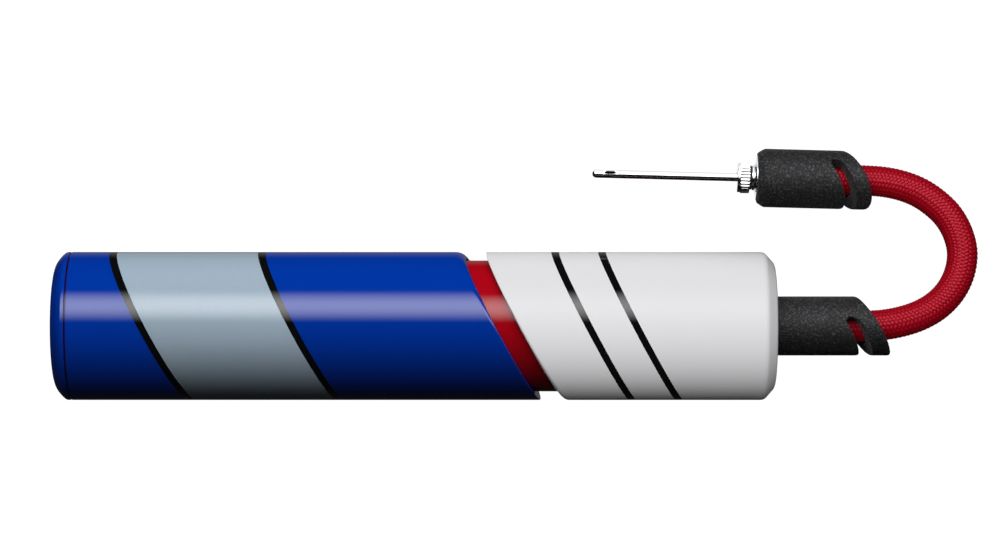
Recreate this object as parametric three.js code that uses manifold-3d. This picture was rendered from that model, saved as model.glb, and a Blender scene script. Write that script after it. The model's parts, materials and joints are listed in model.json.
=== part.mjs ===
// A telescoping ball inflation pump with a braided hose and a ball needle, lying on a flat surface.
// Millimetres, +Z up. The pump's axis runs along X at body-radius height, X = 0 is the body's middle,
// the handle is on the -X side and the hose leaves the +X end.

import * as THREE from 'three';
import { mergeVertices } from 'three/addons/utils/BufferGeometryUtils.js';
import Module from 'manifold-3d';

const wasm = await Module();
wasm.setup();

// driving dimensions
const bodyRadius = 19;
const bodyHalf = 92.2;
const edgeChamfer = { axial: 2.7, radial: 3.1 };
const handleCutX = 22.3; // where the slanted cuts meet the pump's axis
const gripCutX = 28.2;
const cutSlope = { y: 0.523, z: 0.09 }; // how far a cut leans back for each millimetre across
const barrelRadius = 16.8;
const barrelBore = 15.3;
const slidingBore = 17.15; // handle mouth and grip shell, over the barrel
const counterbore = 17.65; // handle sleeve behind its bush, clears the gland's collar
const rodRadius = 3;
const touch = 0.05; // between faces that rest on each other
const looseFit = 0.3;

const capShoulderX = -88.4;
const sleeveEndX = -87.8;
const spigotEndX = -85.5;
const glandX = -84;
const barrelEndX = -79.7;
const glandInnerX = -72;
const bushLength = 8;
const pistonX = 60;
const pistonLength = 8;
const plugX = 73.2;
const barrelHeadX = 83.2;
const plugFaceX = 86.7;
const gripWallX = 87;

const nippleRadius = 4.9;
const barbRoot = 2.3;
const barbTip = 2.75;
const airBore = 1.2;

const hoseRadius = 4;
const bootRadius = 7.6;
const bootLength = 25; // along the axis, to the middle of the slanted end
const bootTilt = { y: 0.566, z: 0.22 };
const slotArc = { from: 18, to: -165 }; // degrees from the top side
const nearSlot = { front: 4.6, back: 8, tiltZ: 0.22 }; // its edges, measured back from the slanted end
const farSlot = { front: 3.6, back: 6.6, tiltZ: 0.12 };
const bootStepX = 14.4;
const farRoll = 27; // degrees that the needle's boot is turned about its own axis
const farPlace = new THREE.Vector3(88.5, 38.35, bootRadius);
const farTurn = -1.5; // degrees

const needle = { radius: 1.1, bore: 0.7, length: 42.8, hole: 38.1, holeTurn: 20 }; // degrees from the top
const hub = { left: -5.2, right: -1.95, radius: 4.1, teeth: 28, toothDepth: 0.25 };
const threadEnd = 3.5;

// the hose's centreline, from the pump's ferrule to the needle's ferrule
const hoseRoute = [
  [104.3, 0, 19],
  [110, 0, 19],
  [116, 0, 19],
  [120.5, 0.3, 19],
  [125.2, 1.2, 18.9],
  [129.9, 2.8, 18.4],
  [134.3, 5.4, 17.6],
  [137.9, 9.1, 16.5],
  [140.3, 13.8, 15.2],
  [141.1, 19.1, 13.8],
  [140, 24.2, 12.3],
  [137.6, 28.6, 10.9],
  [134.2, 32, 9.7],
  [130.3, 34.6, 8.8],
  [126, 36.3, 8.1],
  [121.5, 37.25, 7.7],
  [117, 37.6, 7.6],
  [110, 37.79, 7.6],
  [102.8, 37.98, 7.6],
];

const fineSides = 48;
const sides = 28;
const smallSides = 14;
const radians = THREE.MathUtils.degToRad;

// finishes
const finishes = {
  blue: { color: '#0a3aa0', roughness: 0.25, metalness: 0.3 },
  white: { color: '#e9e9ea', roughness: 0.3, metalness: 0 },
  red: { color: '#b4141e', roughness: 0.3, metalness: 0.4 },
  rubber: { color: '#26272a', roughness: 0.85, metalness: 0 },
  chrome: { color: '#d9dbde', roughness: 0.12, metalness: 1 },
  brass: { color: '#b9975b', roughness: 0.35, metalness: 1 },
  steel: { color: '#9a9da1', roughness: 0.35, metalness: 1 },
  nylon: { color: '#e6e2d6', roughness: 0.6, metalness: 0 },
  acetal: { color: '#34363a', roughness: 0.5, metalness: 0 },
  braid: { color: '#c0151f', roughness: 0.7, metalness: 0 },
};

const pump = new THREE.Group(); // everything on the pump's own axis
pump.position.z = bodyRadius;
const farEnd = new THREE.Group(); // everything on the needle's axis, +X towards the hose
farEnd.position.copy(farPlace);
farEnd.rotation.z = radians(farTurn);
const part = new THREE.Group();
part.name = 'ball_pump';
part.add(pump, farEnd);

function addPiece(group, name, geometry, finish) {
  const mesh = new THREE.Mesh(geometry, new THREE.MeshStandardMaterial(finishes[finish]));
  mesh.name = name;
  group.add(mesh);
}

// A turned piece: [x, radius] pairs go left to right outside, then right to left inside.
// A profile that doesn't start on the axis is closed into a ring.
function turned(profile, count = sides) {
  const outline = profile.map(([x, radius]) => new THREE.Vector2(radius, x));
  if (profile[0][1] > 0) {
    outline.push(outline[0].clone());
  }
  return new THREE.LatheGeometry(outline, count).rotateZ(-Math.PI / 2);
}

function ring(left, right, inner, outer, count = sides) {
  return turned([[left, outer], [right, outer], [right, inner], [left, inner]], count);
}

function cylinder(left, right, radius, count = smallSides) {
  return turned([[left, 0], [left, radius], [right, radius], [right, 0]], count);
}

function roundRing(centreX, centreRadius, wireRadius, count = sides) {
  const steps = 8;
  const profile = [];
  for (let i = 0; i < steps; i += 1) {
    const angle = (2 * Math.PI * i) / steps;
    profile.push([centreX + wireRadius * Math.sin(angle), centreRadius + wireRadius * Math.cos(angle)]);
  }
  return turned(profile, count);
}

// a prism along X with the outline given in the YZ plane
function prism(points, left, right) {
  const shape = new THREE.Shape(points.map(([y, z]) => new THREE.Vector2(y, z)));
  const geometry = new THREE.ExtrudeGeometry(shape, { depth: right - left, bevelEnabled: false });
  const axes = new THREE.Matrix4().set(0, 0, 1, left, 1, 0, 0, 0, 0, 1, 0, 0, 0, 0, 0, 1);
  return geometry.applyMatrix4(axes);
}

function polygon(count, radius, depth = 0) {
  const points = [];
  for (let i = 0; i < count; i += 1) {
    const angle = (2 * Math.PI * i) / count;
    const reach = radius - (i % 2) * depth;
    points.push([reach * Math.cos(angle), reach * Math.sin(angle)]);
  }
  return points;
}

function toSolid(geometry) {
  const bare = geometry.clone();
  bare.deleteAttribute('normal');
  bare.deleteAttribute('uv');
  const merged = mergeVertices(bare);
  const index = merged.index.array;
  const kept = [];
  for (let i = 0; i < index.length; i += 3) {
    const [a, b, c] = [index[i], index[i + 1], index[i + 2]];
    if (a !== b && b !== c && c !== a) {
      kept.push(a, b, c);
    }
  }
  const vertProperties = new Float32Array(merged.attributes.position.array);
  return new wasm.Manifold(new wasm.Mesh({ numProp: 3, vertProperties, triVerts: new Uint32Array(kept) }));
}

function toGeometry(solid) {
  const mesh = solid.getMesh();
  const geometry = new THREE.BufferGeometry();
  geometry.setAttribute('position', new THREE.BufferAttribute(mesh.vertProperties, 3));
  geometry.setIndex(new THREE.BufferAttribute(mesh.triVerts, 1));
  geometry.computeVertexNormals();
  return geometry;
}

function cut(geometry, ...tools) {
  return toGeometry(tools.reduce((solid, tool) => solid.subtract(toSolid(tool)), toSolid(geometry)));
}

function join(geometry, ...others) {
  return toGeometry(others.reduce((solid, other) => solid.add(toSolid(other)), toSolid(geometry)));
}

// shears a piece along X, so that an upright plane becomes a slanted one
function lean(geometry, slopeY, slopeZ) {
  return geometry.applyMatrix4(new THREE.Matrix4().set(
    1, slopeY, slopeZ, 0,
    0, 1, 0, 0,
    0, 0, 1, 0,
    0, 0, 0, 1,
  ));
}

function slantedBlock(left, right) {
  const block = new THREE.BoxGeometry(right - left, 50, 50).translate((left + right) / 2, 0, 0);
  return lean(block, -cutSlope.y, -cutSlope.z);
}

// the handle: sleeve, cap and guide bush
function makeHandle() {
  const rough = turned([
    [sleeveEndX, bodyRadius],
    [45, bodyRadius],
    [45, slidingBore],
    [bushLength, slidingBore],
    [bushLength, counterbore],
    [sleeveEndX, counterbore],
  ], fineSides);
  addPiece(pump, 'handle_sleeve', cut(rough, slantedBlock(handleCutX, 70)), 'blue');

  const lockSeat = 13;
  const rodHole = rodRadius + looseFit;
  addPiece(pump, 'handle_cap', turned([
    [-bodyHalf, 0],
    [-bodyHalf, bodyRadius - edgeChamfer.radial],
    [-bodyHalf + edgeChamfer.axial, bodyRadius],
    [capShoulderX, bodyRadius],
    [capShoulderX, counterbore - looseFit],
    [spigotEndX, counterbore - looseFit],
    [spigotEndX, lockSeat],
    [capShoulderX, lockSeat],
    [capShoulderX, rodHole],
    [capShoulderX - 2.2, rodHole],
    [capShoulderX - 2.2, 0],
  ], fineSides), 'blue');
  const seamInner = counterbore - 0.2;
  const seamOuter = bodyRadius - looseFit;
  const seam = ring(capShoulderX + touch, sleeveEndX - touch, seamInner, seamOuter, fineSides);
  addPiece(pump, 'cap_ring', seam, 'red');
  addPiece(pump, 'sleeve_bush', ring(0, bushLength - touch, 17, 17.5, fineSides), 'nylon');
}

// the rod, and the piston with its floating intake ring
function makePiston() {
  const boltHole = 2.3;
  const boltRadius = 2;
  const rodEnd = pistonX - looseFit;
  addPiece(pump, 'piston_rod', turned([
    [capShoulderX - 2, 0],
    [capShoulderX - 2, rodRadius - 0.4],
    [capShoulderX - 1.6, rodRadius],
    [rodEnd, rodRadius],
    [rodEnd, boltHole],
    [rodEnd - 10, boltHole],
    [rodEnd - 10, 0],
  ], smallSides), 'steel');
  const nut = prism(polygon(6, 5.77), capShoulderX + touch, capShoulderX + 2.7);
  addPiece(pump, 'rod_nut', cut(nut, cylinder(-bodyHalf, -80, rodRadius + looseFit)), 'steel');

  const rimRadius = barrelBore - 0.4;
  const groove = { left: pistonX + 1.6, right: pistonX + 5.8, floor: 12.6 };
  const pistonFace = pistonX + pistonLength;
  const blank = turned([
    [pistonX, rimRadius],
    [groove.left, rimRadius],
    [groove.left, groove.floor],
    [groove.right, groove.floor],
    [groove.right, rimRadius],
    [pistonFace, rimRadius],
    [pistonFace, boltHole],
    [pistonX, boltHole],
  ]);
  const notches = [];
  for (let i = 0; i < 6; i += 1) { // air passes here while the intake ring sits forward
    const notch = new THREE.BoxGeometry(3, 4, 3).translate(pistonFace - 0.8, 0, groove.floor + 1.3);
    notches.push(notch.rotateX((i * Math.PI) / 3));
  }
  addPiece(pump, 'piston_core', cut(blank, ...notches), 'acetal');
  const intakeWire = 1.15;
  addPiece(pump, 'intake_ring', roundRing(groove.left + 0.1 + intakeWire, 13.95, intakeWire), 'rubber');

  const washerFace = pistonFace + touch + 0.8;
  addPiece(pump, 'piston_washer', ring(pistonFace + touch, washerFace, boltHole, 7, smallSides), 'steel');
  const headLeft = washerFace + touch;
  const headRight = headLeft + 2.8;
  const bolt = turned([
    [rodEnd - 9, 0],
    [rodEnd - 9, boltRadius],
    [headLeft, boltRadius],
    [headLeft, 4],
    [headRight - 0.2, 4],
    [headRight, 3.8],
    [headRight, 0],
  ], smallSides);
  const hexSocket = prism(polygon(6, 1.75), headRight - 1.6, headRight + 1);
  addPiece(pump, 'piston_bolt', cut(bolt, hexSocket), 'steel');
}

// the barrel with the gland that guides the rod
function makeBarrel() {
  addPiece(pump, 'barrel_tube', ring(barrelEndX, barrelHeadX, barrelBore, barrelRadius, fineSides), 'red');
  const collarRadius = counterbore - looseFit;
  const bushSeat = 4.5;
  const blank = turned([
    [glandX, collarRadius],
    [barrelEndX - touch, collarRadius],
    [barrelEndX - touch, barrelBore - looseFit],
    [glandInnerX, barrelBore - looseFit],
    [glandInnerX, bushSeat],
    [glandX, bushSeat],
  ]);
  const vents = [];
  for (let i = 0; i < 4; i += 1) {
    const vent = new THREE.CylinderGeometry(1.5, 1.5, 30, 12).rotateZ(Math.PI / 2);
    vents.push(vent.translate(glandX + 6, 9.5, 0).rotateX((i * Math.PI) / 2));
  }
  addPiece(pump, 'barrel_gland', cut(blank, ...vents), 'acetal');
  addPiece(pump, 'gland_bush', turned([
    [glandX - 0.9, 5.8],
    [glandX - touch, 5.8],
    [glandX - touch, bushSeat - looseFit],
    [glandInnerX - 0.5, bushSeat - looseFit],
    [glandInnerX - 0.5, rodRadius + 0.15],
    [glandX - 0.9, rodRadius + 0.15],
  ], smallSides), 'nylon');
  addPiece(pump, 'end_bumper', ring(glandX - 1.3, glandX - touch, 13.6, 16.2), 'rubber');
}

// the head: plug, seals, check valve, grip shell and the nipple that feeds the hose
function makeHead() {
  const chamber = { left: 75, radius: 3.4 };
  const threadHole = { left: 82.5, radius: nippleRadius + looseFit };
  const grooves = [75, 79.4];
  const grooveWidth = 2.4;
  const grooveFloor = 12.9;
  const bodyR = barrelBore - looseFit;
  const grooved = grooves.flatMap((x) => [
    [x, bodyR],
    [x, grooveFloor],
    [x + grooveWidth, grooveFloor],
    [x + grooveWidth, bodyR],
  ]);
  addPiece(pump, 'head_plug', turned([
    [plugX, bodyR],
    ...grooved,
    [barrelHeadX + touch, bodyR],
    [barrelHeadX + touch, barrelRadius],
    [plugFaceX, barrelRadius],
    [plugFaceX, threadHole.radius],
    [threadHole.left, threadHole.radius],
    [threadHole.left, chamber.radius],
    [chamber.left, chamber.radius],
    [chamber.left, 1.6],
    [plugX, 1.6],
  ]), 'acetal');
  grooves.forEach((x, i) => {
    addPiece(pump, `head_seal_${i + 1}`, roundRing(x + grooveWidth / 2, 14.13, 1.08), 'rubber');
  });

  const seat = { left: chamber.left + touch, right: chamber.left + 1, inner: 1.7 };
  addPiece(pump, 'valve_seat', ring(seat.left, seat.right, seat.inner, 3.2, smallSides), 'rubber');
  const ballRadius = 2.4;
  const ballX = seat.right + Math.sqrt(ballRadius ** 2 - seat.inner ** 2) + touch;
  const ball = new THREE.SphereGeometry(ballRadius, smallSides, 8).rotateZ(-Math.PI / 2);
  addPiece(pump, 'valve_ball', ball.translate(ballX, 0, 0), 'steel');

  const wire = 0.25;
  const coilRadius = 1.9;
  const springLeft = ballX + Math.sqrt((ballRadius + wire + touch) ** 2 - coilRadius ** 2);
  const springSeat = gripWallX - 1;
  const springTurns = 5;
  class Coil extends THREE.Curve {
    getPoint(t, target = new THREE.Vector3()) {
      const angle = 2 * Math.PI * springTurns * t;
      const x = THREE.MathUtils.lerp(springLeft, springSeat - wire - touch, t);
      return target.set(x, coilRadius * Math.cos(angle), coilRadius * Math.sin(angle));
    }
  }
  addPiece(pump, 'valve_spring', tube(new Coil(), wire, 45, 5), 'steel');

  const rough = turned([
    [0, bodyRadius],
    [bodyHalf - edgeChamfer.axial, bodyRadius],
    [bodyHalf, bodyRadius - edgeChamfer.radial],
    [bodyHalf, 7.2],
    [bodyHalf - 3, 7.2],
    [bodyHalf - 3, threadHole.radius],
    [gripWallX, threadHole.radius],
    [gripWallX, slidingBore],
    [0, slidingBore],
  ], fineSides);
  addPiece(pump, 'grip_shell', cut(rough, slantedBlock(-20, gripCutX)), 'white');
  const nut = prism(polygon(6, 6.93), bodyHalf - 2.7, bodyHalf - looseFit);
  addPiece(pump, 'grip_nut', cut(nut, cylinder(gripWallX, 99, threadHole.radius)), 'brass');

  const springPocket = 2.6;
  addPiece(pump, 'hose_nipple', turned([
    [threadHole.left + looseFit, nippleRadius],
    [bodyHalf - 0.2, nippleRadius],
    ...barbs(bodyHalf - 0.2, 9),
    [springSeat, airBore],
    [springSeat, springPocket],
    [threadHole.left + looseFit, springPocket],
  ], smallSides), 'brass');
}

// three saw-tooth barbs, ending with the air bore's mouth
function barbs(left, length) {
  const pitch = length / 4;
  const teeth = [0, 1, 2].flatMap((i) => [
    [left + (i + 1) * pitch, barbTip],
    [left + (i + 1) * pitch + 0.05, barbTip],
    [left + (i + 2) * pitch - 0.05, barbRoot],
  ]);
  return [[left, barbRoot], [left + pitch - 0.05, barbRoot], ...teeth, [left + length, airBore]];
}

// a crimped ferrule: its wall also fills the place of the hose's end
function ferrule(left, right) {
  const outer = 5;
  const waist = 4.65;
  const crimps = 3;
  const pitch = (right - left) / (crimps + 0.5);
  const profile = [[left, outer]];
  for (let i = 0; i < crimps; i += 1) {
    const start = left + (i + 0.5) * pitch;
    profile.push([start, outer], [start + 0.3, waist], [start + 1.2, waist], [start + 1.5, outer]);
  }
  profile.push([right, outer], [right, barbTip + looseFit], [left, barbTip + looseFit]);
  return turned(profile, smallSides);
}

// a round tube along a curve, closed at both ends
function tube(path, radius, steps, count) {
  const section = new THREE.Shape(polygon(count, radius).map(([y, z]) => new THREE.Vector2(y, z)));
  return new THREE.ExtrudeGeometry(section, { steps, bevelEnabled: false, extrudePath: path });
}

// The rubber boot over a hose end, its root at x = 0: the far end is cut on the slant, and a slot
// beside it leaves a band that lets the hose bend.
function boot(rootX, rootChamfer, slot) {
  const mouth = hoseRadius + looseFit;
  const blank = turned([
    [rootX, bootRadius - rootChamfer.radial],
    [rootX + rootChamfer.axial, bootRadius],
    [40, bootRadius],
    [40, mouth],
    [bootStepX, mouth],
    [bootStepX, 5.3],
    [rootX, 5.3],
  ]);
  const end = new THREE.BoxGeometry(30, 40, 40).translate(bootLength + 15, 0, 0);
  const wedge = [[0, 0]];
  const wedgeReach = 12;
  const wedgeSteps = 12;
  for (let i = 0; i <= wedgeSteps; i += 1) {
    const angle = radians(THREE.MathUtils.lerp(slotArc.to, slotArc.from, i / wedgeSteps));
    wedge.push([wedgeReach * Math.sin(angle), wedgeReach * Math.cos(angle)]);
  }
  const slotBlock = prism(wedge.reverse(), bootLength - slot.back, bootLength - slot.front);
  return cut(blank, lean(end, -bootTilt.y, bootTilt.z), lean(slotBlock, -bootTilt.y, slot.tiltZ));
}

function makeHose() {
  const curve = new THREE.CatmullRomCurve3(hoseRoute.map((point) => new THREE.Vector3(...point)));
  addPiece(part, 'hose', tube(curve, hoseRadius, 32, 10), 'braid');
  addPiece(pump, 'near_ferrule', ferrule(bodyHalf + looseFit, bodyHalf + 11.8), 'steel');
  const nearBoot = boot(looseFit, { axial: 0.4, radial: 0.4 }, nearSlot);
  const farBoot = boot(0, { axial: 1.8, radial: 1.1 }, farSlot);
  addPiece(pump, 'near_boot', nearBoot.translate(bodyHalf, 0, 0), 'rubber');
  addPiece(farEnd, 'far_boot', farBoot.rotateX(radians(-farRoll)), 'rubber');
  addPiece(farEnd, 'far_ferrule', ferrule(6.8, 14), 'steel');
}

// the needle, its gasket and the socket that it screws into
function makeNeedle() {
  const lip = -1.3;
  const socketBore = 2.4;
  addPiece(farEnd, 'needle_socket', turned([
    [lip, 3.3],
    [-0.9, 3.3],
    [-0.3, 5.8],
    [-0.1, 5.8],
    [-0.1, nippleRadius],
    [6.5, nippleRadius],
    ...barbs(6.5, 7),
    [4.2, airBore],
    [4.2, socketBore],
    [lip, socketBore],
  ], smallSides), 'chrome');
  const gasket = ring(hub.right + touch, lip - touch, socketBore, 3.1, smallSides);
  addPiece(farEnd, 'needle_gasket', gasket, 'rubber');

  const rimX = hub.left + 0.8;
  const tubeHole = needle.radius + 0.2;
  const tubeStop = -2.8;
  const core = turned([
    [hub.left, 3.5],
    [hub.left + 0.2, 3.9],
    [rimX, 3.9],
    [hub.right, 3.8],
    [hub.right, 2.05],
    [threadEnd, 2.05],
    [threadEnd, needle.bore],
    [tubeStop, needle.bore],
    [tubeStop, tubeHole],
    [hub.left, tubeHole],
  ], smallSides);
  const knurl = cut(
    prism(polygon(2 * hub.teeth, hub.radius, hub.toothDepth), rimX, hub.right),
    cylinder(hub.left - 1, 0, 3),
  );
  addPiece(farEnd, 'needle_hub', join(core, knurl), 'chrome');

  const tip = [0, 30, 60, 90].map((degrees) => [
    -needle.length + needle.radius * (1 - Math.cos(radians(degrees))),
    needle.radius * Math.sin(radians(degrees)),
  ]);
  const tubeBlank = turned([
    ...tip,
    [tubeStop - 0.2, needle.radius],
    [tubeStop - 0.2, needle.bore],
    [-needle.length + 1.6, needle.bore],
    [-needle.length + 1.9, 0],
  ], smallSides);
  const ovalLength = 2.1;
  const ovalWidth = 0.8;
  const half = (ovalLength - ovalWidth) / 2;
  const oval = new THREE.Shape();
  oval.absarc(half, 0, ovalWidth / 2, -Math.PI / 2, Math.PI / 2, false);
  oval.absarc(-half, 0, ovalWidth / 2, Math.PI / 2, (3 * Math.PI) / 2, false);
  const holeTool = new THREE.ExtrudeGeometry(oval, { depth: 3, bevelEnabled: false, curveSegments: 6 });
  holeTool.translate(-needle.hole, 0, 0).rotateX(radians(-needle.holeTurn));
  addPiece(farEnd, 'needle_tube', cut(tubeBlank, holeTool), 'chrome');
}

makeHandle();
makePiston();
makeBarrel();
makeHead();
makeHose();
makeNeedle();

export default part;
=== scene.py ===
import json
import math

import bmesh
import bpy
import numpy as np
from mathutils import Matrix, Vector


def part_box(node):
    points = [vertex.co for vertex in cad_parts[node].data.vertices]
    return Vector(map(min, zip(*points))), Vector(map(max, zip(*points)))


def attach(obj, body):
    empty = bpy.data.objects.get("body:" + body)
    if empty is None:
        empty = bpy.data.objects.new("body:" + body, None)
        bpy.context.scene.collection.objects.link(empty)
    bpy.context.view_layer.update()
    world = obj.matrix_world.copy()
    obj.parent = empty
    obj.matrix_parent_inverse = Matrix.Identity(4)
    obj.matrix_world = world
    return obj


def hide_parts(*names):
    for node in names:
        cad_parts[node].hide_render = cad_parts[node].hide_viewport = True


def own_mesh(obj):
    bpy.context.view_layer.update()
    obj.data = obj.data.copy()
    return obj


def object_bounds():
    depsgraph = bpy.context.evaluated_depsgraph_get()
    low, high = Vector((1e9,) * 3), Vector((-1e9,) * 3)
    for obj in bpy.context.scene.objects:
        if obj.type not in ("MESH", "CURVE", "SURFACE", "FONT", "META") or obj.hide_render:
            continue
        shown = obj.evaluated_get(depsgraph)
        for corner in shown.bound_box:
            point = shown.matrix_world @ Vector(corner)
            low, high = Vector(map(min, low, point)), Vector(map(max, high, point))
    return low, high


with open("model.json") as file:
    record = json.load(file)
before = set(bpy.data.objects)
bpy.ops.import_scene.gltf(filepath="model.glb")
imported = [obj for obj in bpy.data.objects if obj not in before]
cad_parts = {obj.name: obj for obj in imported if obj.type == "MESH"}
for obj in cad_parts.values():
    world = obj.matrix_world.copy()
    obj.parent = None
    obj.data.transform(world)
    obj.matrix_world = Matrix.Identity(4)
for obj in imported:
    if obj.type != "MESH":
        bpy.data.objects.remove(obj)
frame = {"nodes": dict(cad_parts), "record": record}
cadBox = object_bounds()
scene = bpy.context.scene
mm = 0.001  # the shapes below are in millimetres, the scene is in metres


def nodeBox(node):
    low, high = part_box(node)
    return low / mm, high / mm


# places and main sizes, read from the frame
capLow, capHigh = nodeBox("handle_cap")
sleeveHigh = nodeBox("handle_sleeve")[1]
ringLow, ringHigh = nodeBox("cap_ring")
barrelLow, barrelHigh = nodeBox("barrel_tube")
gripLow, gripHigh = nodeBox("grip_shell")
nearLow, nearHigh = nodeBox("near_boot")
bodyRadius = (capHigh.z - capLow.z) / 2
barrelRadius = (barrelHigh.z - barrelLow.z) / 2
bootRadius = (nearHigh.z - nearLow.z) / 2
axisHeight = (capHigh.z + capLow.z) / 2
pumpAxis = Matrix.Translation((0, 0, axisHeight))

needleJoint = next(j for j in frame["record"]["behaviour"]["joints"] if j["name"] == "needle_turn")
towardsTip = Vector(needleJoint["axis"])
farTurn = math.atan2(-towardsTip.y, -towardsTip.x)
farAxis = Matrix.Translation(Vector(needleJoint["pos_m"]) / mm) @ Matrix.Rotation(farTurn, 4, "Z")

# the slanted cut between handle and grip: how far it leans back for each millimetre across
parting = dict(slopeY=0.523, slopeZ=0.09)
partingReach = bodyRadius * math.hypot(parting["slopeY"], parting["slopeZ"])

# it looks straight down from a metre above the pump's axis
camera = dict(lens=140.2, sensor=36, height=1.0, asideX=-0.00463, asideY=-0.0014)


def addCamera():
    low, high = cadBox
    data = bpy.data.cameras.new("camera")
    data.lens = camera["lens"]
    data.sensor_width = camera["sensor"]
    piece = bpy.data.objects.new("camera", data)
    middle = (low + high) / 2
    piece.location = (
        middle.x + camera["asideX"],
        middle.y + camera["asideY"],
        axisHeight * mm + camera["height"],
    )
    scene.collection.objects.link(piece)
    scene.camera = piece
    scene.view_settings.view_transform = "Standard"  # plain colours, as a catalogue shows them


# small helpers


def linear(hexColour):
    parts = [int(hexColour[i : i + 2], 16) / 255 for i in (1, 3, 5)]
    return [c / 12.92 if c <= 0.04045 else ((c + 0.055) / 1.055) ** 2.4 for c in parts] + [1]


def addNode(tree, kind, inputs=None, **settings):
    node = tree.nodes.new(kind)
    for key, value in settings.items():
        setattr(node, key, value)
    for key, value in (inputs or {}).items():
        if isinstance(value, bpy.types.NodeSocket):
            tree.links.new(value, node.inputs[key])
        else:
            node.inputs[key].default_value = value
    return node


def newMaterial(name, colour, values):
    material = bpy.data.materials.new(name)
    material.use_nodes = True
    tree = material.node_tree
    shader = tree.nodes["Principled BSDF"]
    shader.inputs["Base Color"].default_value = linear(colour)
    for key, value in values.items():
        shader.inputs[key].default_value = value
    return material, tree, shader


def newPiece(name, verts, faces, materials, inks=None, place=None, smooth=35):
    mesh = bpy.data.meshes.new(name)
    mesh.from_pydata(verts, [], faces)
    shell = bmesh.new()
    shell.from_mesh(mesh)
    bmesh.ops.recalc_face_normals(shell, faces=shell.faces)
    shell.to_mesh(mesh)
    shell.free()
    mesh.transform(Matrix.Scale(mm, 4) @ (place or Matrix.Identity(4)))
    for material in materials:
        mesh.materials.append(material)
    if inks is not None:
        mesh.polygons.foreach_set("material_index", inks)
    mesh.shade_smooth()
    mesh.set_sharp_from_angle(angle=math.radians(smooth))
    piece = bpy.data.objects.new(name, mesh)
    scene.collection.objects.link(piece)
    return piece


def settle(piece, node, body):
    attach(piece, body)
    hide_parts(node)


# A turned piece is a list of corners along its own X axis, outside from left to right and inside
# back again. lean 1 makes a corner follow the slanted cut; swing is how much larger or smaller a
# rounding gets on its way from +Y to -Y, and a higher bend makes that happen closer to +Y.
def corner(x, r, cut=0, down=None, lean=0, swing=1, bend=1, ink=0, wave=0):
    down = cut if down is None else down
    return dict(x=x, r=r, cut=cut, down=down, lean=lean, swing=swing, bend=bend, ink=ink, wave=wave)


def roundCorners(corners, steps=6, support=1.2):
    rows = []
    for i, c in enumerate(corners):
        if c["cut"] == 0:
            rows.append(dict(c, dx=0, dr=0))
            continue
        here = Vector((c["x"], c["r"]))
        last = corners[i - 1]
        following = corners[(i + 1) % len(corners)]
        back = Vector((last["x"], last["r"])) - here
        ahead = Vector((following["x"], following["r"])) - here
        backOff = back.normalized() * min(c["cut"], 0.7 * back.length)
        aheadOff = ahead.normalized() * min(c["down"], 0.7 * ahead.length)
        offs = [backOff * support]
        for k in range(steps + 1):
            t = k / steps
            offs.append(backOff * (1 - t) ** 2 + aheadOff * t**2)
        offs.append(aheadOff * support)
        for k, off in enumerate(offs):
            ink = last["ink"] if k < len(offs) // 2 else c["ink"]
            rows.append(dict(c, dx=off.x, dr=off.y, ink=ink))
    return rows


def turnedSkin(name, corners, materials, place=pumpAxis, columns=160, waves=None, smooth=35):
    rows = roundCorners(corners)
    verts, faces, inks, rings = [], [], [], []
    closed = corners[0]["r"] > 0
    for row in rows:
        ring = []
        for j in range(columns if row["r"] > 0 else 1):
            angle = 2 * math.pi * j / columns  # from +Z towards +Y
            towardsY = ((1 + math.sin(angle)) / 2) ** row["bend"]
            grow = row["swing"] + (1 - row["swing"]) * towardsY
            r = row["r"] + row["dr"] * grow
            x = row["x"] + row["dx"] * grow
            if row["wave"]:
                r += waves[row["wave"]](x, angle)
            y, z = r * math.sin(angle), r * math.cos(angle)
            x -= row["lean"] * (parting["slopeY"] * y + parting["slopeZ"] * z)
            ring.append(len(verts))
            verts.append((x, y, z))
        rings.append(ring)
    for k in range(len(rows) if closed else len(rows) - 1):
        a, b = rings[k], rings[(k + 1) % len(rows)]
        for j in range(columns):
            n = (j + 1) % columns
            if len(a) == 1:
                faces.append((a[0], b[j], b[n]))
            elif len(b) == 1:
                faces.append((a[j], b[0], a[n]))
            else:
                faces.append((a[j], b[j], b[n], a[n]))
            inks.append(rows[k]["ink"])
    return newPiece(name, verts, faces, materials, inks, place, smooth)


def applyModifiers(piece):
    mesh = bpy.data.meshes.new_from_object(piece.evaluated_get(bpy.context.evaluated_depsgraph_get()))
    piece.modifiers.clear()
    piece.data = mesh


# finishes


def mixColours(tree, share, first, second):
    # a colour mix has its own sockets: 6 and 7 are its two colours, output 2 the result
    inputs = {0: share, 6: linear(first), 7: linear(second)}
    return addNode(tree, "ShaderNodeMix", inputs, data_type="RGBA").outputs[2]


def cloud(tree, size, detail):
    # noise whose spots are about `size` millimetres across
    place = addNode(tree, "ShaderNodeTexCoord")
    inputs = {"Vector": place.outputs["Object"], "Scale": 1 / (size * mm), "Detail": detail}
    return addNode(tree, "ShaderNodeTexNoise", inputs).outputs[0]


def raised(tree, shader, height, depth):
    bump = addNode(tree, "ShaderNodeBump", {"Height": height, "Strength": 1.0, "Distance": depth * mm})
    tree.links.new(bump.outputs[0], shader.inputs["Normal"])


def roughFrom(tree, shader, value, least, most):
    rough = addNode(tree, "ShaderNodeMapRange", {"Value": value, "To Min": least, "To Max": most})
    tree.links.new(rough.outputs[0], shader.inputs["Roughness"])


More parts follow.
